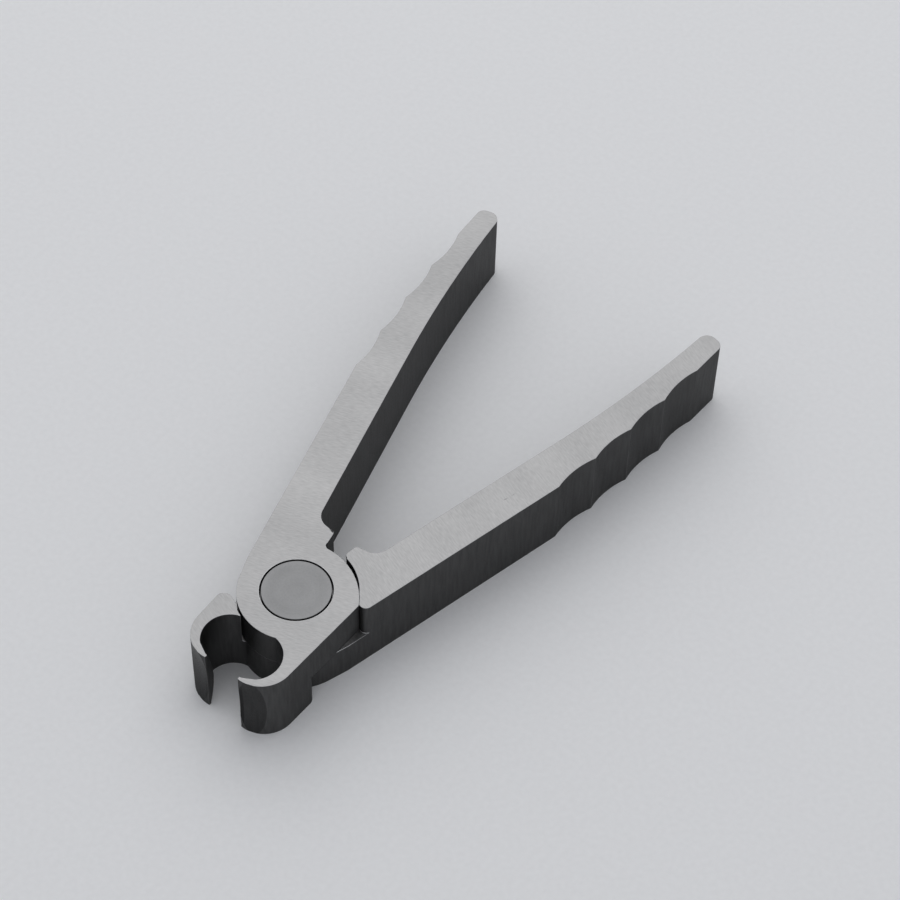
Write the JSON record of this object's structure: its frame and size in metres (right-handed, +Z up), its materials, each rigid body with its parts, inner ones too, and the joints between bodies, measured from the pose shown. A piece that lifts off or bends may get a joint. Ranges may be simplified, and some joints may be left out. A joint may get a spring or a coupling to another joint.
{
  "type": "wick trimmer nipper",
  "caption": "Small end nipper for trimming candle wicks: two identical crossing steel levers on a flush pivot, scalloped handles and hooked, hollow-ground jaws.",
  "frame": {"origin": "on the pivot axis, in the plane of the face that the tool rests on", "axes": "+Y from the pivot towards the handles, along the tool; +Z up along the pivot axis, from the rest face to the top face; +X to the right seen from above"},
  "size_m": [0.0442, 0.0889, 0.012],
  "materials": {
    "lever_steel": "fine brushed, grain across each lever, satin side walls",
    "pin_steel": "fine matte turned face",
    "bronze": "plain turned",
    "spring_steel": "drawn wire"
  },
  "bodies": {
    "lever_a": {"lever_left": "lever_steel", "pivot_barrel": "pin_steel", "pivot_screw": "pin_steel", "bush_upper": "bronze", "thrust_washer": "bronze", "opening_spring": "spring_steel"},
    "lever_b": {"lever_right": "lever_steel", "bush_lower": "bronze"}
  },
  "joints": [
    {"name": "pivot", "type": "hinge", "parent": "lever_a", "child": "lever_b", "pos_m": [0, 0, 0], "axis": [0, 0, 1], "range_deg": [0, 20], "stiffness_Nm_per_rad": 0.14, "springref_deg": -20.05, "deforming": ["opening_spring"]}
  ]
}
